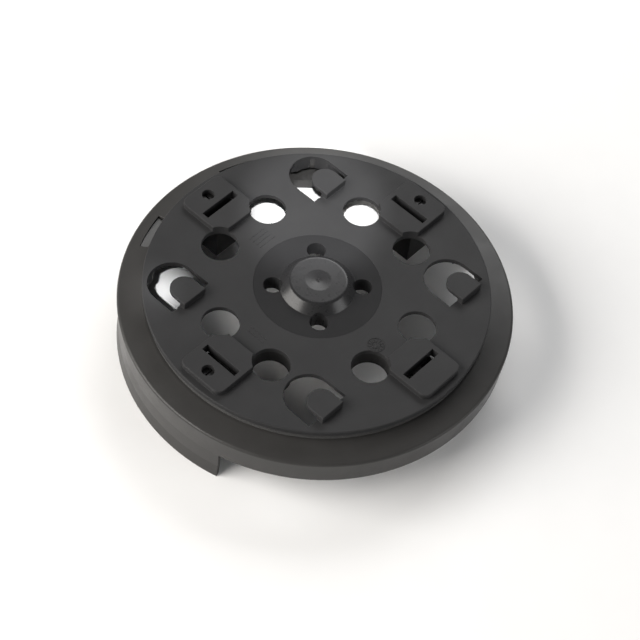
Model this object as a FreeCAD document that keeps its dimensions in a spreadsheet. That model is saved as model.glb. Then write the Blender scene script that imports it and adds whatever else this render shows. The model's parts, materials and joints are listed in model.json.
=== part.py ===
import FreeCAD, Part
import os
import re
import Sketcher
from FreeCAD import Placement, Rotation, Vector

# Sanding-head hood: a round carrier plate inside a shroud ring that turns on it.
# Millimetres. +Z is up, +Y points to the tall side of the skirt, and the origin is
# the centre of the circle on which the tall skirt stands.

SIZES = [
    # carrier plate
    ("plate_r", 100.0, "radius of the carrier plate"),
    ("plate_top", 46.7, "height of the plate's upper face"),
    ("plate_t", 3.0, "thickness of the plate"),
    ("plate_edge_round", 0.6, "rounding of the plate's upper edge"),
    ("spigot_r", 97.2, "outer radius of the spigot that the shroud ring turns on"),
    ("spigot_wall", 2.7, "wall of the spigot"),
    ("spigot_foot", 36.3, "height of the spigot's lower edge"),
    ("pad_inner", 62.5, "inner end of a raised pad"),
    ("pad_outer", 95.8, "outer end of a raised pad"),
    ("pad_half", 15.5, "half width of a raised pad"),
    ("pad_rise", 3.5, "height of a raised pad over the plate"),
    ("pad_corner", 4.5, "corner radius of a raised pad"),
    ("pad_edge_round", 0.5, "rounding of a pad's upper edges"),
    ("slot_inner", 76.2, "inner side of a pad slot"),
    ("slot_outer", 80.8, "outer side of a pad slot"),
    ("slot_half", 12.5, "half length of a pad slot"),
    ("air_hole_r", 11.0, "radius of an air hole"),
    ("air_hole_ring", 62.08, "radius of the circle of air holes"),
    ("air_hole_angle", 18.53, "angle between a pad's axis and the air holes beside it"),
    ("boss_r", 4.0, "radius of a keeper boss"),
    ("boss_ring", 91.0, "radius of the circle of keeper bosses"),
    ("boss_angle", 23.0, "angle between an axis and the keeper bosses beside it"),
    # hooks
    ("hook_side", 58.6, "distance of a hook's centre line from the middle"),
    ("hook_half", 14.6, "half width of a hook opening"),
    ("rear_hook_start", 44.0, "square end of a rear hook opening"),
    ("rear_hook_bend", 58.3, "centre of the round end of a rear hook opening"),
    ("front_hook_start", -62.35, "square end of a front hook opening"),
    ("front_hook_bend", -48.85, "centre of the round end of a front hook opening"),
    ("tongue_half", 8.2, "half width of a tongue"),
    ("tongue_reach", 5.0, "centre of the tongue's round tip, from the square end"),
    ("riser_t", 3.7, "thickness of the wall that carries a tongue"),
    ("tongue_rise", 4.5, "height of a tongue's upper face over the plate"),
    ("tongue_t", 2.5, "thickness of a tongue"),
    ("tongue_round", 0.5, "rounding of a tongue's upper edges"),
    # hub flange
    ("hub_r", 36.97, "radius of the hub's visible disc"),
    ("hub_opening_r", 37.0, "radius of the opening in the plate"),
    ("hub_sink", 0.1, "depth of the hub's face under the plate's face"),
    ("hub_flange_r", 44.0, "radius of the hub's flange under the plate"),
    ("hub_flange_t", 2.5, "thickness of the hub's flange"),
    ("dome_foot_r", 22.0, "radius of the dome's foot"),
    ("dome_top_r", 16.8, "radius of the dome's flat top"),
    ("dome_rise", 5.4, "height of the dome over the plate"),
    ("dome_round", 2.6, "rounding of the dome's upper edge"),
    ("dimple_r", 7.5, "radius of the dimple in the dome"),
    ("dimple_depth", 0.7, "depth of the dimple in the dome"),
    ("socket_r", 14.0, "radius of the hollow under the dome"),
    ("socket_roof", 48.6, "height of the hollow's roof"),
    ("hub_hole_r", 5.5, "radius of a hub hole"),
    ("hub_hole_ring", 25.76, "radius of the circle of hub holes"),
    ("hub_boss_r", 7.5, "radius of the boss round a hub hole"),
    ("hub_boss_foot", 36.4, "height of the lower end of a hub boss"),
    # shroud ring
    ("ring_bore_r", 97.5, "bore of the shroud ring"),
    ("shoulder_top", 38.8, "height of the shoulder's inner edge"),
    ("shoulder_r", 100.0, "radius where the shoulder starts to fall"),
    ("rim_r", 114.4, "outer radius of the ring at the crease and at the lip"),
    ("crease_z", 36.1, "height of the crease between shoulder and skirt"),
    ("foot_r", 113.3, "outer radius of the skirt at its foot"),
    ("short_z", 19.7, "height of the short skirt's lower edge"),
    ("lip_z", 8.8, "height where the lip starts to flare"),
    ("ring_wall", 2.5, "wall of the shroud ring"),
    ("tall_angle", 211.0, "angle covered by the tall skirt"),
    ("crease_round", 1.6, "rounding of the crease"),
    ("window_inner_r", 102.0, "inner radius of a window in the shoulder"),
    ("window_outer_r", 107.0, "outer radius of a window in the shoulder"),
    ("window_angle", 13.5, "angle covered by a window"),
    ("window_offset", 20.25, "angle between the +Y axis and a window's middle"),
    # latch tabs
    ("tab_gap", 0.3, "gap round a latch tab"),
    ("tab_angle", 12.8, "angle covered by a latch tab"),
    ("tab_root_angle", 26.8, "angle between the +Y axis and a latch tab's root"),
    ("tab_top", 37.3, "height of a latch tab's upper face at its root"),
    ("tab_t", 2.0, "thickness of a latch tab"),
    ("tab_slope", 2.5, "slope of a latch tab, falling from its root"),
    # catches and their housings
    ("housing_inner", 69.0, "inner end of a catch housing"),
    ("housing_outer", 93.5, "outer end of a catch housing"),
    ("housing_half", 11.2, "half width of a catch housing"),
    ("housing_foot", 20.0, "height of a catch housing's lower face"),
    ("pocket_inner", 70.5, "inner end of the pocket for the catch"),
    ("pocket_outer", 81.3, "outer end of the pocket for the catch"),
    ("pocket_half", 9.7, "half width of the pocket for the catch"),
    ("pocket_floor", 36.3, "height of the ledge under the catch"),
    ("ledge_end", 77.0, "outer end of the ledge under the catch"),
    ("catch_inner", 72.9, "inner side of a catch"),
    ("catch_outer", 76.4, "outer side of a catch"),
    ("catch_half", 9.3, "half width of a catch"),
    ("catch_foot", 36.7, "height of a catch's lower face"),
    ("catch_top", 43.2, "height of a catch's upper face"),
    ("nose_r", 4.0, "radius of a catch's nose"),
    ("nose_centre", 75.2, "distance of the nose's centre from the middle"),
    ("nose_t", 3.6, "height of a catch's nose"),
    ("nose_lift", 0.6, "height of the nose's middle over the middle of the catch"),
    # sleeves, seal, keepers
    ("sleeve_wall", 1.0, "wall of a sleeve under an air hole"),
    ("sleeve_foot", 34.9, "height of a sleeve's lower end"),
    ("seal_inner_r", 97.25, "inner radius of the felt seal"),
    ("seal_outer_r", 98.9, "outer radius of the felt seal"),
    ("seal_foot", 39.2, "height of the felt seal's lower face"),
    ("keeper_inner", 86.0, "inner end of a ring keeper"),
    ("keeper_outer", 99.8, "outer end of a ring keeper"),
    ("keeper_half", 4.5, "half width of a ring keeper"),
    ("keeper_top", 36.0, "height of a ring keeper's upper face"),
    ("keeper_t", 2.2, "thickness of a ring keeper"),
    # screws
    ("screw_r", 1.5, "shank radius of the keeper and housing screws"),
    ("screw_play", 0.05, "radial play of a shank in its hole"),
    ("screw_head_r", 2.9, "head radius of the keeper screws"),
    ("screw_head_t", 1.8, "head height of the keeper and housing screws"),
    ("screw_depth", 6.0, "length of a keeper screw in its boss"),
    ("screw_ring", 88.5, "distance of a housing screw from the middle"),
    ("counterbore_r", 3.75, "radius of a pad's counterbore"),
    ("counterbore_z", 45.2, "height of the counterbore's floor"),
    ("housing_head_r", 3.55, "head radius of the housing screws"),
    ("housing_screw_foot", 37.2, "height of a housing screw's tip"),
    ("hub_screw_ring", 40.5, "radius of the circle of hub screws"),
    ("hub_screw_r", 1.25, "shank radius of the hub screws"),
    ("hub_screw_head_r", 2.4, "head radius of the hub screws"),
    ("hub_screw_tip", 45.6, "height of a hub screw's tip"),
    ("screw_end_gap", 0.3, "gap over the tip of a blind screw"),
    ("drive_width", 0.9, "width of a screw head's slot"),
    ("drive_depth", 0.8, "depth of a screw head's slot"),
]

PAD_ANGLES = {"right": 0, "rear": 90, "left": 180, "front": 270}
SCREWED_PADS = ("right", "rear", "left")
SIDES = {"left": 1, "right": -1}
QUARTERS = (0, 90, 180, 270)

doc = FreeCAD.newDocument("sanding_head_hood")
sheet = doc.addObject("Spreadsheet::Sheet", "sizes")
for row, (alias, number, note) in enumerate(SIZES, start=1):
    sheet.set(f"A{row}", note)
    sheet.set(f"B{row}", str(number))
    sheet.setAlias(f"B{row}", alias)
doc.recompute()
ALIASES = {entry[0] for entry in SIZES}
parts = []


# ---------------------------------------------------------------- helpers

def linked(text):
    """Turn 'plate_r - 2' into an expression that reads the sheet."""
    return re.sub(r"[a-z_]+", lambda word: "sizes." + word[0] if word[0] in ALIASES else word[0], text)


def number_of(text):
    """The present value of an expression in sheet words."""
    return float(sheet.evalExpression(text))


def bind(item, **properties):
    """Bind properties to sheet expressions. Two underscores stand for a dot."""
    for name, text in properties.items():
        item.setExpression(name.replace("__", "."), linked(text))


def polar(angle):
    """Unit vector at an angle in degrees in the XY plane."""
    return Rotation(Vector(0, 0, 1), angle).multVec(Vector(1, 0, 0))


def turned(item, angle):
    """Turn an item about the Z axis."""
    item.Placement = Placement(Vector(0, 0, 0), Rotation(Vector(0, 0, 1), angle))
    return item


def part(item, name):
    """Name a finished sub-part and list it for export."""
    item.Label = name
    parts.append(item)
    return item


def cylinder(name, radius, foot, height, at_x="0", at_y="0"):
    made = doc.addObject("Part::Cylinder", name)
    bind(made, Radius=radius, Height=height)
    bind(made, Placement__Base__x=at_x, Placement__Base__y=at_y, Placement__Base__z=foot)
    return made


def box(name, low_x, high_x, half_width, foot, height):
    """A block that is centred on the X axis."""
    made = doc.addObject("Part::Box", name)
    bind(made, Length=f"{high_x} - ({low_x})", Width=f"2 * ({half_width})", Height=height)
    bind(made, Placement__Base__x=low_x, Placement__Base__y=f"-({half_width})", Placement__Base__z=foot)
    return made


def fused(name, shapes):
    made = doc.addObject("Part::MultiFuse", name)
    made.Shapes = shapes
    return made


def cut(name, base, tools):
    made = doc.addObject("Part::Cut", name)
    made.Base = base
    made.Tool = tools[0] if len(tools) == 1 else fused(name + "_tools", tools)
    return made


def group(name, shapes):
    """Separate identical solids that share one node."""
    made = doc.addObject("Part::Compound", name)
    made.Links = shapes
    return made


def new_body(name):
    return doc.addObject("PartDesign::Body", name)


def new_sketch(body, name, role, height="0"):
    """A sketch on one of the body's origin planes, moved along its normal."""
    made = body.newObject("Sketcher::SketchObject", name)
    plane = [item for item in body.Origin.OriginFeatures if item.Role == role][0]
    made.AttachmentSupport = (plane, [""])
    made.MapMode = "FlatFace"
    bind(made, AttachmentOffset__Base__z=height)
    return made


def fix(sketch, geometry, point, x=None, y=None):
    """Fix a point of a sketch to expressions for its distance from the origin."""
    for kind, text in (("DistanceX", x), ("DistanceY", y)):
        if text is not None:
            datum = Sketcher.Constraint(kind, -1, 1, geometry, point, number_of(text))
            index = sketch.addConstraint(datum)
            sketch.setExpression(f"Constraints[{index}]", linked(text))


def circle(sketch, radius, x="0", y="0"):
    centre = Vector(number_of(x), number_of(y), 0)
    index = sketch.addGeometry(Part.Circle(centre, Vector(0, 0, 1), number_of(radius)), False)
    fix(sketch, index, 3, x, y)
    datum = sketch.addConstraint(Sketcher.Constraint("Radius", index, number_of(radius)))
    sketch.setExpression(f"Constraints[{datum}]", linked(radius))


def outline(sketch, corners):
    """A closed anticlockwise outline. A corner is (x, y), and a corner where an
    anticlockwise arc starts is (x, y, centre_x, centre_y)."""
    first = sketch.GeometryCount
    count = len(corners)
    spots = [Vector(number_of(corner[0]), number_of(corner[1]), 0) for corner in corners]
    for index, corner in enumerate(corners):
        start = spots[index]
        end = spots[(index + 1) % count]
        if len(corner) == 4:
            centre = Vector(number_of(corner[2]), number_of(corner[3]), 0)
            whole = Part.Circle(centre, Vector(0, 0, 1), (start - centre).Length)
            sketch.addGeometry(Part.ArcOfCircle(whole, whole.parameter(start), whole.parameter(end)), False)
        else:
            sketch.addGeometry(Part.LineSegment(start, end), False)
    for index, corner in enumerate(corners):
        following = first + (index + 1) % count
        sketch.addConstraint(Sketcher.Constraint("Coincident", first + index, 2, following, 1))
        fix(sketch, first + index, 1, corner[0], corner[1])
        if len(corner) == 4:
            fix(sketch, first + index, 3, y=corner[3])


def pad(body, name, sketch, length, downwards=False):
    made = body.newObject("PartDesign::Pad", name)
    made.Profile = sketch
    made.Reversed = downwards
    bind(made, Length=length)
    body.Tip = made
    return made


def pocket(body, name, sketch, depth=None):
    """Cut downwards by a depth, or right through both ways."""
    made = body.newObject("PartDesign::Pocket", name)
    made.Profile = sketch
    if depth is None:
        made.Type = "ThroughAll"
        made.Midplane = True
    else:
        bind(made, Length=depth)
    body.Tip = made
    return made


def revolution(body, name, sketch, angle="360"):
    """Turn a profile about the Z axis, half of the angle each way."""
    made = body.newObject("PartDesign::Revolution", name)
    made.Profile = sketch
    made.ReferenceAxis = (sketch, ["V_Axis"])
    made.Midplane = True
    bind(made, Angle=angle)
    body.Tip = made
    return made


def around(body, name, feature, sketch, count=4):
    made = body.newObject("PartDesign::PolarPattern", name)
    made.Originals = [feature]
    made.Axis = (sketch, ["N_Axis"])
    made.Angle = 360
    made.Occurrences = count
    body.Tip = made
    return made


def rounded(body, name, radius, wanted):
    """Round the body's edges for which wanted(edge) is true."""
    doc.recompute()
    base = body.Tip
    names = [f"Edge{n}" for n, edge in enumerate(base.Shape.Edges, start=1) if wanted(edge)]
    made = body.newObject("PartDesign::Fillet", name)
    made.Base = (base, names)
    bind(made, Radius=radius)
    body.Tip = made
    return made


def flat_at(edge, height):
    """Whether an edge lies wholly at one height."""
    box_of = edge.BoundBox
    return abs(box_of.ZMin - height) < 1e-4 and abs(box_of.ZMax - height) < 1e-4


# ---------------------------------------------------------------- carrier plate

def air_holes(sketch):
    for sign in ("", "-"):
        spot_x = "air_hole_ring * cos(air_hole_angle * 1 deg)"
        spot_y = f"{sign}1 * air_hole_ring * sin(air_hole_angle * 1 deg)"
        circle(sketch, "air_hole_r", spot_x, spot_y)


def hook_places():
    """Side sign, square end and bend centre of the four hooks."""
    for side in ("1", "-1"):
        for end in ("rear", "front"):
            yield side, f"{end}_hook_start", f"{end}_hook_bend"


def hook_opening(sketch, side, start, bend):
    middle = f"{side} * hook_side"
    outline(sketch, [
        (f"{middle} - hook_half", start),
        (f"{middle} + hook_half", start),
        (f"{middle} + hook_half", bend, middle, bend),
        (f"{middle} - hook_half", bend),
    ])


def hook_tongue(sketch, side, start):
    middle = f"{side} * hook_side"
    tip = f"{start} + tongue_reach"
    outline(sketch, [
        (f"{middle} - tongue_half", f"{start} - riser_t"),
        (f"{middle} + tongue_half", f"{start} - riser_t"),
        (f"{middle} + tongue_half", tip, middle, tip),
        (f"{middle} - tongue_half", tip),
    ])


def hook_riser(sketch, side, start):
    middle = f"{side} * hook_side"
    outline(sketch, [
        (f"{middle} - tongue_half", f"{start} - riser_t"),
        (f"{middle} + tongue_half", f"{start} - riser_t"),
        (f"{middle} + tongue_half", start),
        (f"{middle} - tongue_half", start),
    ])


def carrier_plate():
    body = new_body("carrier_plate")
    underside = "plate_top - plate_t"

    disc = new_sketch(body, "disc_outline", "XY_Plane", underside)
    circle(disc, "plate_r")
    circle(disc, "hub_opening_r")
    pad(body, "disc", disc, "plate_t")

    spigot = new_sketch(body, "spigot_outline", "XY_Plane", underside)
    circle(spigot, "spigot_r")
    circle(spigot, "spigot_r - spigot_wall")
    pad(body, "spigot", spigot, f"{underside} - spigot_foot", downwards=True)

    bosses = new_sketch(body, "boss_outline", "XY_Plane", underside)
    for sign in ("1", "-1"):
        spot_x = "boss_ring * cos(boss_angle * 1 deg)"
        circle(bosses, "boss_r", spot_x, f"{sign} * boss_ring * sin(boss_angle * 1 deg)")
    boss_pair = pad(body, "boss_pair", bosses, f"{underside} - keeper_top", downwards=True)
    around(body, "bosses", boss_pair, bosses)

    raised = new_sketch(body, "pad_outline", "XY_Plane", "plate_top")
    near_x, far_x = "pad_inner", "pad_outer"
    outline(raised, [
        (f"{near_x} + pad_corner", "-pad_half"),
        (f"{far_x} - pad_corner", "-pad_half", f"{far_x} - pad_corner", "-pad_half + pad_corner"),
        (far_x, "-pad_half + pad_corner"),
        (far_x, "pad_half - pad_corner", f"{far_x} - pad_corner", "pad_half - pad_corner"),
        (f"{far_x} - pad_corner", "pad_half"),
        (f"{near_x} + pad_corner", "pad_half", f"{near_x} + pad_corner", "pad_half - pad_corner"),
        (near_x, "pad_half - pad_corner"),
        (near_x, "-pad_half + pad_corner", f"{near_x} + pad_corner", "-pad_half + pad_corner"),
    ])
    raised_pad = pad(body, "raised_pad", raised, "pad_rise")
    around(body, "raised_pads", raised_pad, raised)
    pad_top = number_of("plate_top + pad_rise")
    rounded(body, "pad_edges", "pad_edge_round", lambda edge: flat_at(edge, pad_top))

    risers = new_sketch(body, "riser_outlines", "XY_Plane", "plate_top")
    tongues = new_sketch(body, "tongue_outlines", "XY_Plane", "plate_top + tongue_rise - tongue_t")
    for side, start, _ in hook_places():
        hook_riser(risers, side, start)
        hook_tongue(tongues, side, start)
    pad(body, "risers", risers, "tongue_rise")

    holes = new_sketch(body, "air_hole_outline", "XY_Plane", "plate_top")
    air_holes(holes)
    hole_pair = pocket(body, "air_hole_pair", holes)
    around(body, "air_holes", hole_pair, holes)

    openings = new_sketch(body, "hook_outlines", "XY_Plane", "plate_top")
    for side, start, bend in hook_places():
        hook_opening(openings, side, start, bend)
    pocket(body, "hook_openings", openings)
    pad(body, "tongues", tongues, "tongue_t")

    slots = new_sketch(body, "slot_outline", "XY_Plane", "plate_top")
    outline(slots, [
        ("slot_inner", "-slot_half"),
        ("slot_outer", "-slot_half"),
        ("slot_outer", "slot_half"),
        ("slot_inner", "slot_half"),
    ])
    slot = pocket(body, "slot", slots)
    around(body, "slots", slot, slots)

    bores = new_sketch(body, "counterbore_outlines", "XY_Plane", "plate_top + pad_rise")
    shanks = new_sketch(body, "shank_outlines", "XY_Plane", "plate_top + pad_rise")
    for name in SCREWED_PADS:
        way = polar(PAD_ANGLES[name])
        spot = (f"{round(way.x)} * screw_ring", f"{round(way.y)} * screw_ring")
        circle(bores, "counterbore_r", *spot)
        circle(shanks, "screw_r + screw_play", *spot)
    pocket(body, "counterbores", bores, "plate_top + pad_rise - counterbore_z")
    pocket(body, "shank_holes", shanks)

    pilots = new_sketch(body, "pilot_outline", "XY_Plane", "keeper_top + screw_depth + 1")
    for sign in ("1", "-1"):
        spot_x = "boss_ring * cos(boss_angle * 1 deg)"
        spot_y = f"{sign} * boss_ring * sin(boss_angle * 1 deg)"
        circle(pilots, "screw_r + screw_play", spot_x, spot_y)
    pilot_pair = pocket(body, "pilot_pair", pilots, "screw_depth + 2")
    around(body, "pilots", pilot_pair, pilots)

    hub_pilots = new_sketch(body, "hub_pilot_outline", "XY_Plane", "hub_screw_tip + screw_end_gap")
    circle(hub_pilots, "hub_screw_r + screw_play", "hub_screw_ring")
    hub_pilot = pocket(body, "hub_pilot", hub_pilots, "plate_t")
    around(body, "hub_pilots", hub_pilot, hub_pilots)

    top = number_of("plate_top")
    radius = number_of("plate_r")
    rounded(body, "plate_edge", "plate_edge_round",
            lambda edge: flat_at(edge, top) and abs(edge.BoundBox.XMax - radius) < 1e-3)
    tongue_top = number_of("plate_top + tongue_rise")
    rounded(body, "tongue_edges", "tongue_round", lambda edge: flat_at(edge, tongue_top))
    part(body, "carrier_plate")


# ---------------------------------------------------------------- hub flange

def hub_flange():
    body = new_body("hub_flange")
    face = "plate_top - hub_sink"
    underside = "plate_top - plate_t"
    dome_top = "plate_top + dome_rise"
    profile = new_sketch(body, "hub_profile", "XZ_Plane")
    outline(profile, [
        ("socket_r", f"{underside} - hub_flange_t"),
        ("hub_flange_r", f"{underside} - hub_flange_t"),
        ("hub_flange_r", underside),
        ("hub_r", underside),
        ("hub_r", face),
        ("dome_foot_r", face),
        ("dome_top_r", dome_top),
        ("dimple_r", dome_top),
        ("0", f"{dome_top} - dimple_depth"),
        ("0", "socket_roof"),
        ("socket_r", "socket_roof"),
    ])
    revolution(body, "hub_disc", profile)

    bosses = new_sketch(body, "hub_boss_outline", "XY_Plane", f"{underside} - hub_flange_t")
    spot = ("hub_hole_ring * cos(45 deg)", "hub_hole_ring * sin(45 deg)")
    circle(bosses, "hub_boss_r", *spot)
    boss = pad(body, "hub_boss", bosses, f"{underside} - hub_flange_t - hub_boss_foot", downwards=True)
    around(body, "hub_bosses", boss, bosses)

    holes = new_sketch(body, "hub_hole_outline", "XY_Plane", "plate_top")
    circle(holes, "hub_hole_r", *spot)
    hole = pocket(body, "hub_hole", holes)
    around(body, "hub_holes", hole, holes)

    shanks = new_sketch(body, "hub_shank_outline", "XY_Plane", "plate_top")
    circle(shanks, "hub_screw_r + screw_play", "hub_screw_ring")
    shank = pocket(body, "hub_shank", shanks)
    around(body, "hub_shanks", shank, shanks)

    top = number_of(dome_top)
    radius = number_of("dome_top_r")
    rounded(body, "dome_edge", "dome_round",
            lambda edge: flat_at(edge, top) and abs(edge.BoundBox.XMax - radius) < 1e-3)
    part(body, "hub_flange")


# ---------------------------------------------------------------- shroud ring

def shroud_ring():
    body = new_body("shroud_ring")
    short = new_sketch(body, "short_profile", "YZ_Plane")
    outline(short, [
        ("ring_bore_r", "shoulder_top - ring_wall"),
        ("shoulder_r", "shoulder_top - ring_wall"),
        ("rim_r - ring_wall", "crease_z - ring_wall"),
        ("foot_r - ring_wall", "short_z"),
        ("foot_r", "short_z"),
        ("rim_r", "crease_z"),
        ("shoulder_r", "shoulder_top"),
        ("ring_bore_r", "shoulder_top"),
    ])
    revolution(body, "short_skirt", short)

    tall = new_sketch(body, "tall_profile", "YZ_Plane")
    outline(tall, [
        ("foot_r - ring_wall", "short_z"),
        ("foot_r - ring_wall", "lip_z"),
        ("rim_r - ring_wall", "0"),
        ("rim_r", "0"),
        ("foot_r", "lip_z"),
        ("foot_r", "short_z"),
    ])
    revolution(body, "tall_skirt", tall, "tall_angle")

    for side, sign in SIDES.items():
        window = new_sketch(body, f"window_profile_{side}", "YZ_Plane")
        window.AttachmentOffset = Placement(Vector(0, 0, 0), Rotation(Vector(0, 1, 0), 1))
        bind(window, AttachmentOffset__Rotation__Angle=f"{sign} * window_offset")
        low_z = "crease_z - 2 * ring_wall"
        outline(window, [
            ("window_inner_r", low_z),
            ("window_outer_r", low_z),
            ("window_outer_r", "shoulder_top + ring_wall"),
            ("window_inner_r", "shoulder_top + ring_wall"),
        ])
        groove = body.newObject("PartDesign::Groove", f"window_{side}")
        groove.Profile = window
        groove.ReferenceAxis = (window, ["V_Axis"])
        groove.Midplane = True
        bind(groove, Angle="window_angle")
        body.Tip = groove

    crease = number_of("crease_z")
    rim = number_of("rim_r")
    rounded(body, "crease_edge", "crease_round",
            lambda edge: flat_at(edge, crease) and abs(edge.BoundBox.XMax - rim) < 1e-3)
    part(body, "shroud_ring")


# ---------------------------------------------------------------- latch tabs

def latch_tab(side, sign):
    """A sloped tab in a window of the shoulder, falling from its root."""
    name = f"latch_tab_{side}"
    depth = "tab_t + 3"
    outer = cylinder(f"{name}_outer", "window_outer_r - tab_gap", f"tab_top - ({depth})", depth)
    inner = cylinder(f"{name}_inner", "window_inner_r + tab_gap", f"tab_top - ({depth}) - 1", f"{depth} + 2")
    bind(outer, Angle="tab_angle")
    start = 90 + number_of("tab_root_angle - tab_angle") if sign > 0 else 90 - number_of("tab_root_angle")
    turned(outer, start)
    bind(outer, Placement__Base__z=f"tab_top - ({depth})")
    sector = cut(f"{name}_sector", outer, [inner])
    root = polar(90 + sign * number_of("tab_root_angle"))
    root_at = root * number_of("window_inner_r")
    slope = Rotation(root * sign, number_of("tab_slope"))
    along = Rotation(Vector(0, 0, 1), 90 + sign * number_of("tab_root_angle"))
    plank = doc.addObject("Part::Box", f"{name}_plank")
    bind(plank, Length="3 * (window_outer_r - window_inner_r)", Width="plate_r", Height="tab_t")
    corner = Vector(-5, -number_of("plate_r") / 2, -number_of("tab_t"))
    face = Vector(root_at.x, root_at.y, number_of("tab_top"))
    turn = slope.multiply(along)
    plank.Placement = Placement(face + turn.multVec(corner), turn)
    made = doc.addObject("Part::Common", name)
    made.Base = sector
    made.Tool = plank
    part(made, name)


# ---------------------------------------------------------------- catches

def catch_housing(name, angle):
    tag = f"catch_housing_{name}"
    height = "plate_top - plate_t - housing_foot"
    block = box(f"{tag}_block", "housing_inner", "housing_outer", "housing_half", "housing_foot", height)
    tools = [
        box(f"{tag}_pocket", "pocket_inner", "pocket_outer", "pocket_half", "pocket_floor", height),
        box(f"{tag}_way", "ledge_end", "pocket_outer", "pocket_half", "housing_foot - 1", height),
    ]
    if name in SCREWED_PADS:
        tools.append(cylinder(f"{tag}_bore", "screw_r + screw_play", "housing_screw_foot - screw_end_gap",
                              height, "screw_ring"))
    part(turned(cut(tag, block, tools), angle), tag)


def catch(name, angle):
    tag = f"catch_{name}"
    bar = box(f"{tag}_bar", "catch_inner", "catch_outer", "catch_half", "catch_foot", "catch_top - catch_foot")
    nose_foot = "(catch_foot + catch_top - nose_t) / 2 + nose_lift"
    nose = cylinder(f"{tag}_nose", "nose_r", nose_foot, "nose_t", "nose_centre")
    back = box(f"{tag}_back", "catch_inner - 3 * nose_r", "catch_inner", "2 * nose_r", nose_foot, "nose_t")
    trimmed = cut(f"{tag}_trimmed", nose, [back])
    part(turned(fused(tag, [bar, trimmed]), angle), tag)


# ---------------------------------------------------------------- sleeves and seal

def sleeve(name, angle):
    tag = f"sleeve_{name}"
    height = "plate_top - plate_t - sleeve_foot"
    outer = cylinder(f"{tag}_outer", "air_hole_r + sleeve_wall", "sleeve_foot", height, "air_hole_ring")
    inner = cylinder(f"{tag}_inner", "air_hole_r", "sleeve_foot - 1", f"{height} + 2", "air_hole_ring")
    part(turned(cut(tag, outer, [inner]), angle), tag)


def dust_seal():
    height = "plate_top - plate_t - seal_foot"
    outer = cylinder("seal_outer", "seal_outer_r", "seal_foot", height)
    inner = cylinder("seal_inner", "seal_inner_r", "seal_foot - 1", f"{height} + 2")
    part(cut("dust_seal", outer, [inner]), "dust_seal")


# ---------------------------------------------------------------- keepers and screws

def screw(name, shank_r, head_r, head_t, seat, tip, at_x, angle, head_up=False):
    """A slotted pan-head screw on the X axis, turned about the Z axis. The head
    lies under the seat, or over it if head_up is true."""
    low, high = (tip, seat) if head_up else (seat, tip)
    shank = cylinder(f"{name}_shank", shank_r, low, f"{high} - ({low})", at_x)
    head_foot = seat if head_up else f"{seat} - {head_t}"
    head = cylinder(f"{name}_head", head_r, head_foot, head_t, at_x)
    slot_foot = f"{seat} + {head_t} - drive_depth" if head_up else f"{seat} - {head_t} - 1"
    slot_height = "drive_depth + 1"
    slot = box(f"{name}_slot", f"{at_x} - 2 * {head_r}", f"{at_x} + 2 * {head_r}",
               "drive_width / 2", slot_foot, slot_height)
    return turned(cut(name, fused(f"{name}_blank", [shank, head]), [slot]), angle)


def keeper_angles():
    offset = number_of("boss_angle")
    return sorted(quarter + sign * offset for quarter in QUARTERS for sign in (1, -1))


def ring_keepers():
    screws = []
    for index, angle in enumerate(keeper_angles(), start=1):
        tag = f"ring_keeper_{index}"
        foot = "keeper_top - keeper_t"
        block = box(f"{tag}_block", "keeper_inner", "keeper_outer", "keeper_half", foot, "keeper_t")
        hole = cylinder(f"{tag}_hole", "screw_r + screw_play", f"{foot} - 1", "keeper_t + 2", "boss_ring")
        part(turned(cut(tag, block, [hole]), angle), tag)
        screws.append(screw(f"keeper_screw_{index}", "screw_r", "screw_head_r", "screw_head_t",
                            foot, "keeper_top + screw_depth", "boss_ring", angle))
    part(group("keeper_screws", screws), "keeper_screws")


def housing_screws():
    screws = [screw(f"housing_screw_{name}", "screw_r", "housing_head_r", "screw_head_t",
                    "counterbore_z", "housing_screw_foot", "screw_ring", PAD_ANGLES[name], head_up=True)
              for name in SCREWED_PADS]
    part(group("housing_screws", screws), "housing_screws")


def hub_screws():
    seat = "plate_top - plate_t - hub_flange_t"
    screws = [screw(f"hub_screw_{angle}", "hub_screw_r", "hub_screw_head_r", "screw_head_t",
                    seat, "hub_screw_tip", "hub_screw_ring", angle)
              for angle in QUARTERS]
    part(group("hub_screws", screws), "hub_screws")


# ---------------------------------------------------------------- build and export

carrier_plate()
hub_flange()
hub_screws()
shroud_ring()
for tab_side, tab_sign in SIDES.items():
    latch_tab(tab_side, tab_sign)
for pad_name, pad_angle in PAD_ANGLES.items():
    catch_housing(pad_name, pad_angle)
    catch(pad_name, pad_angle)
housing_screws()
sleeve("left", 180 + number_of("air_hole_angle"))
sleeve("front", 270 - number_of("air_hole_angle"))
dust_seal()
ring_keepers()

doc.recompute()
failed = [item.Label for item in doc.Objects if "Invalid" in item.State or "Error" in item.State]
failed += [item.Label for item in parts if item.Shape.isNull() or not item.Shape.isValid()]
if failed:
    raise RuntimeError("failed objects: " + ", ".join(failed))

os.makedirs("parts", exist_ok=True)
for item in parts:
    item.Shape.exportStep(f"parts/{item.Label}.step")
    solids = item.Shape.Solids
    size = item.Shape.BoundBox
    print(f"{item.Label}: {len(solids)} solid(s), {item.Shape.Volume / 1000:.2f} cm3,",
          f"z {size.ZMin:.2f} to {size.ZMax:.2f}")
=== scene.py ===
import json
import math

import bmesh
import bpy
from mathutils import Matrix, Vector


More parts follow.
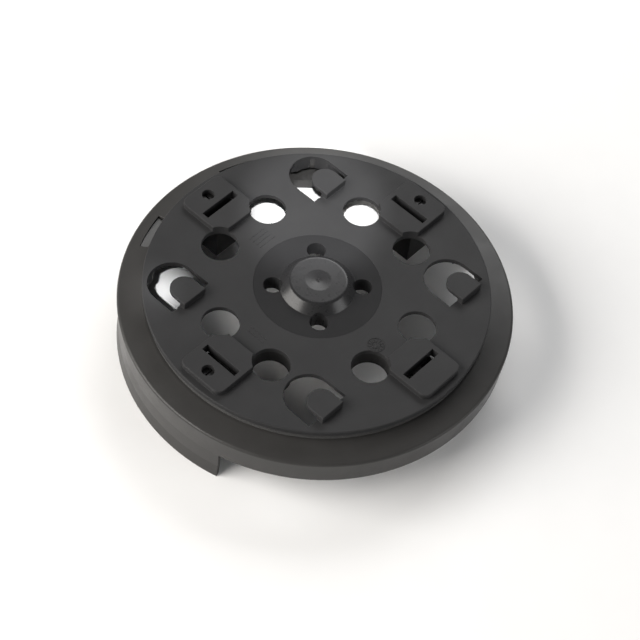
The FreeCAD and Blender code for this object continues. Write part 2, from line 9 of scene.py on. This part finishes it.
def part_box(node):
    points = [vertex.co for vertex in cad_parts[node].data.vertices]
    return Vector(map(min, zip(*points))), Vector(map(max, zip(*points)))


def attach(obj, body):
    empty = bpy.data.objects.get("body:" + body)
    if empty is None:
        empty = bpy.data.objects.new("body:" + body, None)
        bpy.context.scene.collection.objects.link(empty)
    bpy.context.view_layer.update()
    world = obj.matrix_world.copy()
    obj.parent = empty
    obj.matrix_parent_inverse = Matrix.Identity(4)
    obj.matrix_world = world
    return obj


# A round moulded-plastic sanding-head hood, standing open side down on a pale floor.
# Metres. +Z is up and +Y points to the tall side of the skirt.

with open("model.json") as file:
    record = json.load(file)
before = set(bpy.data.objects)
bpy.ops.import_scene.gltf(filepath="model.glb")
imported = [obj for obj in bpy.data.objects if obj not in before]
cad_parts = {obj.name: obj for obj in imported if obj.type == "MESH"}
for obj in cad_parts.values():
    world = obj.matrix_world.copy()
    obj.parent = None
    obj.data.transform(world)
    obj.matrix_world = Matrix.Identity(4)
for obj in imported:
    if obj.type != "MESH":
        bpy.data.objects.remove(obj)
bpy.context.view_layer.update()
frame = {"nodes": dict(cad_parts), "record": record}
MM = 0.001

# ---------------------------------------------------------------- places read from the frame

PLATE_LOW, PLATE_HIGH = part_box("carrier_plate")
HUB_LOW, HUB_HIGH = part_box("hub_flange")
RING_LOW, RING_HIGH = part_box("shroud_ring")
TONGUE_RISE = 4.5 * MM        # the tongues are the plate's highest points
PLATE_TOP = PLATE_HIGH[2] - TONGUE_RISE
DOME_TOP = HUB_HIGH[2]
DIMPLE_DEPTH = 0.7 * MM
DOME_FOOT_R = 22 * MM

# ---------------------------------------------------------------- camera, solved from the plate's circles

VIEW_HEADING = 36.88      # degrees from +X to the camera's horizontal line of sight
VIEW_ELEVATION = 53.475   # degrees that this line slopes down
VIEW_ROLL = 7.754
VIEW_DISTANCE = 1.13054   # from the middle of the plate's top
VIEW_RIGHT = 0.00128      # the aim point's offset along the camera's right and up
VIEW_UP = -0.01957
LENS = 111.38             # millimetres, as is the sensor's width
SENSOR_WIDTH = 36


def make_camera():
    heading = math.radians(VIEW_HEADING)
    tilt = math.radians(VIEW_ELEVATION)
    roll = math.radians(VIEW_ROLL)
    ahead = Vector((math.cos(heading) * math.cos(tilt), math.sin(heading) * math.cos(tilt), -math.sin(tilt)))
    level = Vector((math.sin(heading), -math.cos(heading), 0))
    upright = level.cross(ahead)
    right = level * math.cos(roll) + upright * math.sin(roll)
    up = upright * math.cos(roll) - level * math.sin(roll)
    place = -ahead * VIEW_DISTANCE + right * VIEW_RIGHT + up * VIEW_UP + Vector((0, 0, PLATE_TOP))
    data = bpy.data.cameras.new("camera")
    data.lens = LENS
    data.sensor_width = SENSOR_WIDTH
    data.clip_start = 0.01
    made = bpy.data.objects.new("camera", data)
    turn = Matrix((right, up, -ahead)).transposed().to_4x4()
    made.matrix_world = Matrix.Translation(place) @ turn
    bpy.context.scene.collection.objects.link(made)
    bpy.context.scene.camera = made


# ---------------------------------------------------------------- light levels

WALL_STRENGTH = 0.28      # the world near the horizon, and overhead
CEILING_STRENGTH = 0.12
WALL_RISE = 0.25          # sines of the elevations between which it fades
CEILING_RISE = 0.85
WHITE = (1, 1, 1)
WARM = (1.0, 0.97, 0.93)
SOFTBOXES = (      # name, metres ahead, to the right and up, width and height, power, colour
    ("back_softbox", (1.25, 0.25, 1.0), (1.1, 0.7), 12, WHITE),
    ("left_softbox", (-0.5, -1.3, 0.85), (1.5, 1.0), 42, WARM),
    ("right_softbox", (-0.4, 1.3, 0.6), (0.7, 0.6), 5, WHITE),
)
SPOT_DISTANCE = 1.2
HOLE_SPOTS = (     # name, place aimed at on the plate, cone in degrees, power
    ("air_hole_spot", (0.0393, 0.0393), 4.4, 100),
    ("hook_spot", (-0.070, 0.062), 1.3, 75),
)


# ---------------------------------------------------------------- mesh helpers

def add_object(name, mesh_data, body, material):
    made = bpy.data.objects.new(name, mesh_data)
    bpy.context.scene.collection.objects.link(made)
    made.data.materials.append(material)
    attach(made, body)


def finished(mesh, name, smooth_angle=40):
    data = bpy.data.meshes.new(name)
    mesh.normal_update()
    mesh.to_mesh(data)
    mesh.free()
    data.shade_smooth()
    data.set_sharp_from_angle(angle=math.radians(smooth_angle))
    return data


# ---------------------------------------------------------------- materials

SPECK_SIZE = 0.9 * MM
SPECK_SHARE = 0.35        # how much the specks count beside the clouds
EDGE_RADIUS = 0.35 * MM
EDGE_HIGHLIGHT_GAIN = 2.2         # how much lighter the painted edge highlight is than the plastic
SCUFF_STRETCH = (1, 9, 9)
SCUFF_TURN = 0.6          # radians
GRAIN_DEPTH = 0.05 * MM
SINK_DEPTH = 0.6 * MM
ZONE_BLEND = 0.3 * MM     # half the width over which the hub's finish changes


def ramp(tree, source, low, high, low_at=0.0, high_at=1.0):
    """Map a 0 to 1 value to the range between two numbers or two colours."""
    made = tree.nodes.new("ShaderNodeMapRange")
    made.inputs["From Min"].default_value = low_at
    made.inputs["From Max"].default_value = high_at
    made.inputs["To Min"].default_value = low
    made.inputs["To Max"].default_value = high
    tree.links.new(source, made.inputs["Value"])
    return made.outputs["Result"]


def noise(tree, vector, scale, detail, roughness=0.5):
    """Noise from 0 to 1, with the scale in features per metre."""
    made = tree.nodes.new("ShaderNodeTexNoise")
    made.inputs["Scale"].default_value = scale
    made.inputs["Detail"].default_value = detail
    made.inputs["Roughness"].default_value = roughness
    tree.links.new(vector, made.inputs["Vector"])
    return made.outputs["Fac"]


def moulded_plastic(name, dark, light, rough, grain=0.35, grain_size=0.45 * MM, sheen=0.35,
                    warp=0.10, edge_highlight=0.35):
    """Black injection-moulded plastic: spark-eroded grain, faint sink waves, cloudy sheen,
    fine scuffs, and a painted highlight that colours the edges a little lighter."""
    made = bpy.data.materials.new(name)
    made.use_nodes = True
    tree = made.node_tree
    shader = tree.nodes["Principled BSDF"]
    place = tree.nodes.new("ShaderNodeTexCoord").outputs["Object"]

    cloud = noise(tree, place, 28, detail=4, roughness=0.6)
    speck = noise(tree, place, 1 / SPECK_SIZE, detail=2)
    blend = tree.nodes.new("ShaderNodeMix")
    blend.data_type = "RGBA"
    blend.inputs["A"].default_value = (*dark, 1)
    blend.inputs["B"].default_value = (*light, 1)
    both = tree.nodes.new("ShaderNodeMath")
    both.operation = "MULTIPLY_ADD"
    both.inputs[1].default_value = SPECK_SHARE
    tree.links.new(speck, both.inputs[0])
    tree.links.new(ramp(tree, cloud, 0.0, 0.65, low_at=0.3, high_at=0.7), both.inputs[2])
    tree.links.new(both.outputs[0], blend.inputs["Factor"])

    soft = tree.nodes.new("ShaderNodeBevel")
    soft.samples = 4
    soft.inputs["Radius"].default_value = EDGE_RADIUS
    geometry = tree.nodes.new("ShaderNodeNewGeometry")
    turn = tree.nodes.new("ShaderNodeVectorMath")
    turn.operation = "DOT_PRODUCT"
    tree.links.new(soft.outputs["Normal"], turn.inputs[0])
    tree.links.new(geometry.outputs["Normal"], turn.inputs[1])
    # Painted highlight: where the bevel normal turns away from the face's normal, the colour is mixed
    # towards a lighter tone.
    edge_highlight_mask = ramp(tree, turn.outputs["Value"], edge_highlight, 0.0, low_at=0.86, high_at=0.995)
    edge_highlight_mix = tree.nodes.new("ShaderNodeMix")
    edge_highlight_mix.data_type = "RGBA"
    edge_highlight_mix.inputs["B"].default_value = (*(part * EDGE_HIGHLIGHT_GAIN for part in light), 1)
    tree.links.new(edge_highlight_mask, edge_highlight_mix.inputs["Factor"])
    tree.links.new(blend.outputs["Result"], edge_highlight_mix.inputs["A"])
    tree.links.new(edge_highlight_mix.outputs["Result"], shader.inputs["Base Color"])

    haze = noise(tree, place, 60, detail=5, roughness=0.65)
    scuff_map = tree.nodes.new("ShaderNodeMapping")
    scuff_map.inputs["Scale"].default_value = SCUFF_STRETCH
    scuff_map.inputs["Rotation"].default_value = (0, 0, SCUFF_TURN)
    tree.links.new(place, scuff_map.inputs["Vector"])
    scuff = noise(tree, scuff_map.outputs["Vector"], 110, detail=3, roughness=0.6)
    rough_haze = ramp(tree, haze, rough - 0.05, rough + 0.06, low_at=0.3, high_at=0.7)
    rough_scuff = ramp(tree, scuff, 0.0, 0.10, low_at=0.58, high_at=0.75)
    total = tree.nodes.new("ShaderNodeMath")
    tree.links.new(rough_haze, total.inputs[0])
    tree.links.new(rough_scuff, total.inputs[1])
    tree.links.new(total.outputs[0], shader.inputs["Roughness"])
    shader.inputs["Specular IOR Level"].default_value = sheen

    fine = noise(tree, place, 1 / grain_size, detail=3, roughness=0.6)
    wave = noise(tree, place, 45, detail=1)
    fine_bump = tree.nodes.new("ShaderNodeBump")
    fine_bump.inputs["Strength"].default_value = grain
    fine_bump.inputs["Distance"].default_value = GRAIN_DEPTH
    wave_bump = tree.nodes.new("ShaderNodeBump")
    wave_bump.inputs["Strength"].default_value = warp
    wave_bump.inputs["Distance"].default_value = SINK_DEPTH
    tree.links.new(wave, wave_bump.inputs["Height"])
    tree.links.new(soft.outputs["Normal"], wave_bump.inputs["Normal"])
    tree.links.new(fine, fine_bump.inputs["Height"])
    tree.links.new(wave_bump.outputs["Normal"], fine_bump.inputs["Normal"])
    tree.links.new(fine_bump.outputs["Normal"], shader.inputs["Normal"])
    return made


def two_zone_hub(name):
    """The hub's plastic: a dark matte ring, and a polished dome inside it."""
    made = moulded_plastic(name, (0.018, 0.018, 0.019), (0.024, 0.024, 0.025), 0.56, grain=0.2, sheen=0.10)
    tree = made.node_tree
    shader = tree.nodes["Principled BSDF"]
    place = tree.nodes.new("ShaderNodeTexCoord").outputs["Object"]
    flat = tree.nodes.new("ShaderNodeVectorMath")
    flat.operation = "MULTIPLY"
    flat.inputs[1].default_value = (1, 1, 0)
    reach = tree.nodes.new("ShaderNodeVectorMath")
    reach.operation = "LENGTH"
    tree.links.new(place, flat.inputs[0])
    tree.links.new(flat.outputs["Vector"], reach.inputs[0])
    zone = ramp(tree, reach.outputs["Value"], 1.0, 0.0, low_at=DOME_FOOT_R - ZONE_BLEND,
                high_at=DOME_FOOT_R + ZONE_BLEND)
    # The middle value is the matte ring's, used where nothing is linked to the socket yet.
    for socket, dull, polished in (("Roughness", 0.0, 0.27), ("Specular IOR Level", 0.10, 0.32)):
        joined = tree.nodes.new("ShaderNodeMix")
        joined.data_type = "FLOAT"
        source = shader.inputs[socket].links
        if source:
            tree.links.new(source[0].from_socket, joined.inputs["A"])
        else:
            joined.inputs["A"].default_value = dull
        streak = noise(tree, place, 300, detail=3)
        tree.links.new(ramp(tree, streak, polished - 0.03, polished + 0.05), joined.inputs["B"])
        tree.links.new(zone, joined.inputs["Factor"])
        tree.links.new(joined.outputs["Result"], shader.inputs[socket])
    return made


def blackened_steel():
    """Dark steel with an uneven patina and fine turning marks."""
    made = bpy.data.materials.new("blackened_steel")
    made.use_nodes = True
    tree = made.node_tree
    shader = tree.nodes["Principled BSDF"]
    shader.inputs["Metallic"].default_value = 0.9
    place = tree.nodes.new("ShaderNodeTexCoord").outputs["Object"]
    patina = noise(tree, place, 900, detail=4, roughness=0.6)
    colour = tree.nodes.new("ShaderNodeMix")
    colour.data_type = "RGBA"
    colour.inputs["A"].default_value = (0.030, 0.030, 0.032, 1)
    colour.inputs["B"].default_value = (0.085, 0.083, 0.080, 1)
    tree.links.new(ramp(tree, patina, 0, 1, low_at=0.35, high_at=0.75), colour.inputs["Factor"])
    tree.links.new(colour.outputs["Result"], shader.inputs["Base Color"])
    tree.links.new(ramp(tree, patina, 0.25, 0.5), shader.inputs["Roughness"])
    turning = tree.nodes.new("ShaderNodeBump")
    turning.inputs["Strength"].default_value = 0.2
    turning.inputs["Distance"].default_value = 0.03 * MM
    tree.links.new(noise(tree, place, 3000, detail=2), turning.inputs["Height"])
    tree.links.new(turning.outputs["Normal"], shader.inputs["Normal"])
    return made


def felt():
    """Near-black matted fibre."""
    made = bpy.data.materials.new("felt")
    made.use_nodes = True
    tree = made.node_tree
    shader = tree.nodes["Principled BSDF"]
    shader.inputs["Specular IOR Level"].default_value = 0.15
    shader.inputs["Sheen Weight"].default_value = 0.25
    place = tree.nodes.new("ShaderNodeTexCoord").outputs["Object"]
    fibre = noise(tree, place, 2600, detail=4, roughness=0.7)
    colour = tree.nodes.new("ShaderNodeMix")
    colour.data_type = "RGBA"
    colour.inputs["A"].default_value = (0.010, 0.010, 0.010, 1)
    colour.inputs["B"].default_value = (0.032, 0.031, 0.030, 1)
    tree.links.new(fibre, colour.inputs["Factor"])
    tree.links.new(colour.outputs["Result"], shader.inputs["Base Color"])
    tree.links.new(ramp(tree, fibre, 0.85, 1.0), shader.inputs["Roughness"])
    fuzz = tree.nodes.new("ShaderNodeBump")
    fuzz.inputs["Strength"].default_value = 0.8
    fuzz.inputs["Distance"].default_value = 0.25 * MM
    tree.links.new(fibre, fuzz.inputs["Height"])
    tree.links.new(fuzz.outputs["Normal"], shader.inputs["Normal"])
    return made


MATERIALS = {
    "plate_plastic": moulded_plastic("plate_plastic", (0.026, 0.026, 0.027), (0.035, 0.035, 0.036), 0.50,
                                     sheen=0.14),
    "hub_plastic": two_zone_hub("hub_plastic"),
    "ring_plastic": moulded_plastic("ring_plastic", (0.034, 0.033, 0.032), (0.044, 0.043, 0.042), 0.33,
                                    grain=0.15, sheen=0.22),
    "tab_plastic": moulded_plastic("tab_plastic", (0.060, 0.060, 0.060), (0.072, 0.072, 0.072), 0.40,
                                   grain=0.15),
    "inner_plastic": moulded_plastic("inner_plastic", (0.014, 0.014, 0.014), (0.020, 0.020, 0.020), 0.55,
                                     sheen=0.15),
    "catch_plastic": moulded_plastic("catch_plastic", (0.040, 0.040, 0.040), (0.050, 0.050, 0.050), 0.25,
                                     grain=0.05, sheen=0.5),
    "screw_steel": blackened_steel(),
    "felt": felt(),
}


def dress_nodes():
    """Give every carried-over CAD node the material of its slot in the record."""
    slots = {entry["node"]: entry["material_slot"] for entry in frame["record"]["subparts"]}
    for name, node in frame["nodes"].items():
        for place in node.material_slots:
            place.link = "OBJECT"
            place.material = MATERIALS[slots[name]]


# ---------------------------------------------------------------- mould marks

MARK_SINK = 0.05 * MM     # every mark starts this far inside the surface it stands on
DIAL_CENTRE = Vector((-6.7 * MM, -51 * MM, 0))
DIAL_RINGS = ((4.65 * MM, 5.0 * MM), (2.0 * MM, 2.35 * MM))     # inner and outer radius
DIAL_RISE = 0.35 * MM
TICKS = 12
TICK_R = 3.55 * MM        # from the dial's centre to the middle of a tick
TICK_LENGTH, TICK_WIDTH = 1.5 * MM, 0.4 * MM
POINTER_ANGLE = 1.1       # radians
POINTER_LENGTH, POINTER_WIDTH = 3.0 * MM, 0.5 * MM
MARKED_PLACES = (         # centre, direction in degrees, rows, dashes in a row
    ((0.0017, 0.0461), 0, 4, 5),
    ((-0.0500, 0.0000), 90, 2, 5),
)
DASH_PITCH = 2.6 * MM
ROW_PITCH = 2.8 * MM
DASH_MM = 1.2             # the shortest dash, and how much longer the longest is
DASH_SPREAD_MM = 0.7
DASH_WIDTH, DASH_RISE = 0.5 * MM, 0.3 * MM


def flat_ring(mesh, centre, inner, outer, foot, rise, steps=48):
    """A raised ring with a bevelled top."""
    soft = min(rise * 0.4, (outer - inner) * 0.25)
    levels = [(outer, 0), (outer, rise - soft), (outer - soft, rise), (inner + soft, rise),
              (inner, rise - soft), (inner, 0)]
    rows = []
    for radius, height in levels:
        row = []
        for step in range(steps):
            angle = 2 * math.pi * step / steps
            spot = centre + Vector((radius * math.cos(angle), radius * math.sin(angle), foot + height))
            row.append(mesh.verts.new(spot))
        rows.append(row)
    for lower, upper in zip(rows, rows[1:] + rows[:1]):
        for step in range(steps):
            after = (step + 1) % steps
            mesh.faces.new((lower[step], lower[after], upper[after], upper[step]))


def bar(mesh, centre, along, length, width, foot, rise):
    """A raised bar with bevelled top edges, lying along a direction."""
    across = Vector((-along.y, along.x, 0))
    soft = min(width * 0.25, rise * 0.5)
    rings = []
    for half_l, half_w, height in ((length / 2, width / 2, 0), (length / 2, width / 2, rise - soft),
                                   (length / 2 - soft, width / 2 - soft, rise)):
        ring = []
        for s, t in ((-1, -1), (1, -1), (1, 1), (-1, 1)):
            spot = centre + along * (s * half_l) + across * (t * half_w)
            ring.append(mesh.verts.new((spot.x, spot.y, foot + height)))
        rings.append(ring)
    for lower, upper in zip(rings, rings[1:]):
        for step in range(4):
            after = (step + 1) % 4
            mesh.faces.new((lower[step], lower[after], upper[after], upper[step]))
    mesh.faces.new(rings[-1])
    mesh.faces.new(list(reversed(rings[0])))


def date_dial():
    """The mould's date insert: two rings, twelve ticks and a pointer, with no figures."""
    mesh = bmesh.new()
    foot = PLATE_TOP - MARK_SINK
    for inner, outer in DIAL_RINGS:
        flat_ring(mesh, DIAL_CENTRE, inner, outer, foot, DIAL_RISE)
    for step in range(TICKS):
        angle = math.radians(360 / TICKS * step)
        along = Vector((math.cos(angle), math.sin(angle), 0))
        bar(mesh, DIAL_CENTRE + along * TICK_R, along, TICK_LENGTH, TICK_WIDTH, foot, DIAL_RISE)
    pointer = Vector((math.cos(POINTER_ANGLE), math.sin(POINTER_ANGLE), 0))
    bar(mesh, DIAL_CENTRE, pointer, POINTER_LENGTH, POINTER_WIDTH, foot, DIAL_RISE)
    add_object("date_dial", finished(mesh, "date_dial"), "carrier", MATERIALS["plate_plastic"])


def mould_marks():
    """Rows of short raised dashes in the marked places of the plate."""
    mesh = bmesh.new()
    foot = PLATE_TOP - MARK_SINK
    for (x, y), angle, rows, count in MARKED_PLACES:
        along = Vector((math.cos(math.radians(angle)), math.sin(math.radians(angle)), 0))
        across = Vector((-along.y, along.x, 0))
        for row in range(rows):
            for step in range(count):
                offset = along * ((step - (count - 1) / 2) * DASH_PITCH)
                offset += across * ((row - (rows - 1) / 2) * ROW_PITCH)
                length = (DASH_MM + DASH_SPREAD_MM * ((step * 2 + row) % 3) / 2) * MM
                bar(mesh, Vector((x, y, 0)) + offset, along, length, DASH_WIDTH, foot, DASH_RISE)
    add_object("mould_marks", finished(mesh, "mould_marks"), "carrier", MATERIALS["plate_plastic"])


def gate_mark():
    """The sheared-off sprue in the middle of the dome's dimple."""
    mesh = bmesh.new()
    foot = DOME_TOP - DIMPLE_DEPTH - MARK_SINK
    scar = Vector((0.05 * MM, 0.02 * MM, 0))     # a little off centre
    flat_ring(mesh, Vector((0, 0, 0)), inner=1.0 * MM, outer=1.25 * MM, foot=foot, rise=0.28 * MM, steps=32)
    flat_ring(mesh, scar, inner=0.12 * MM, outer=0.55 * MM, foot=foot, rise=0.42 * MM, steps=20)
    add_object("gate_mark", finished(mesh, "gate_mark"), "carrier", MATERIALS["hub_plastic"])


# ---------------------------------------------------------------- floor and light

def make_floor():
    made = bpy.data.materials.new("floor")
    made.use_nodes = True
    tree = made.node_tree
    shader = tree.nodes["Principled BSDF"]
    shader.inputs["Roughness"].default_value = 0.9
    shader.inputs["Specular IOR Level"].default_value = 0.1
    place = tree.nodes.new("ShaderNodeTexCoord").outputs["Object"]
    shade = noise(tree, place, 40, detail=3)
    colour = tree.nodes.new("ShaderNodeMix")
    colour.data_type = "RGBA"
    colour.inputs["A"].default_value = (0.90, 0.90, 0.90, 1)
    colour.inputs["B"].default_value = (0.93, 0.93, 0.93, 1)
    tree.links.new(shade, colour.inputs["Factor"])
    tree.links.new(colour.outputs["Result"], shader.inputs["Base Color"])
    data = bpy.data.meshes.new("floor")
    reach = 6.0
    data.from_pydata([(-reach, -reach, 0), (reach, -reach, 0), (reach, reach, 0), (-reach, reach, 0)],
                     [], [(0, 1, 2, 3)])
    data.materials.append(made)
    floor = bpy.data.objects.new("floor", data)
    bpy.context.scene.collection.objects.link(floor)


def area_light(name, place, size, power, colour):
    """A rectangular softbox that faces the origin."""
    data = bpy.data.lights.new(name, "AREA")
    data.shape = "RECTANGLE"
    data.size, data.size_y = size
    data.energy = power
    data.color = colour
    made = bpy.data.objects.new(name, data)
    made.location = place
    made.rotation_mode = "QUATERNION"
    made.rotation_quaternion = (-place).to_track_quat("-Z", "Y")
    bpy.context.scene.collection.objects.link(made)


def hole_spot(name, aim, sight, cone, power):
    """A narrow lamp near the camera's line of sight that lights the floor through an opening.
    Placed by trial to match the brightness in the photo."""
    data = bpy.data.lights.new(name, "SPOT")
    data.energy = power
    data.spot_size = math.radians(cone)
    data.spot_blend = 0.45
    data.shadow_soft_size = 0.01
    made = bpy.data.objects.new(name, data)
    made.location = aim - sight * SPOT_DISTANCE
    made.rotation_mode = "QUATERNION"
    made.rotation_quaternion = sight.to_track_quat("-Z", "Y")
    bpy.context.scene.collection.objects.link(made)


def make_light():
    """The world, three softboxes round the hood and the lamps for the openings."""
    world = bpy.data.worlds.new("studio")
    world.use_nodes = True
    background = world.node_tree.nodes["Background"]
    background.inputs["Color"].default_value = (1, 1, 1, 1)
    tree = world.node_tree
    way = tree.nodes.new("ShaderNodeSeparateXYZ")
    tree.links.new(tree.nodes.new("ShaderNodeTexCoord").outputs["Generated"], way.inputs["Vector"])
    fade = ramp(tree, way.outputs["Z"], WALL_STRENGTH, CEILING_STRENGTH, low_at=WALL_RISE,
                high_at=CEILING_RISE)
    tree.links.new(fade, background.inputs["Strength"])
    bpy.context.scene.world = world
    heading = math.radians(VIEW_HEADING)
    ahead = Vector((math.cos(heading), math.sin(heading), 0))
    right = Vector((math.sin(heading), -math.cos(heading), 0))
    for name, (forward, sideways, height), size, power, colour in SOFTBOXES:
        place = ahead * forward + right * sideways + Vector((0, 0, height))
        area_light(name, place, size, power, colour)
    tilt = math.radians(VIEW_ELEVATION)
    sight = ahead * math.cos(tilt) - Vector((0, 0, math.sin(tilt)))
    for name, (x, y), cone, power in HOLE_SPOTS:
        hole_spot(name, Vector((x, y, PLATE_TOP)), sight, cone, power)


bpy.context.scene.view_settings.view_transform = "Standard"
make_camera()
make_floor()
make_light()
dress_nodes()
date_dial()
mould_marks()
gate_mark()
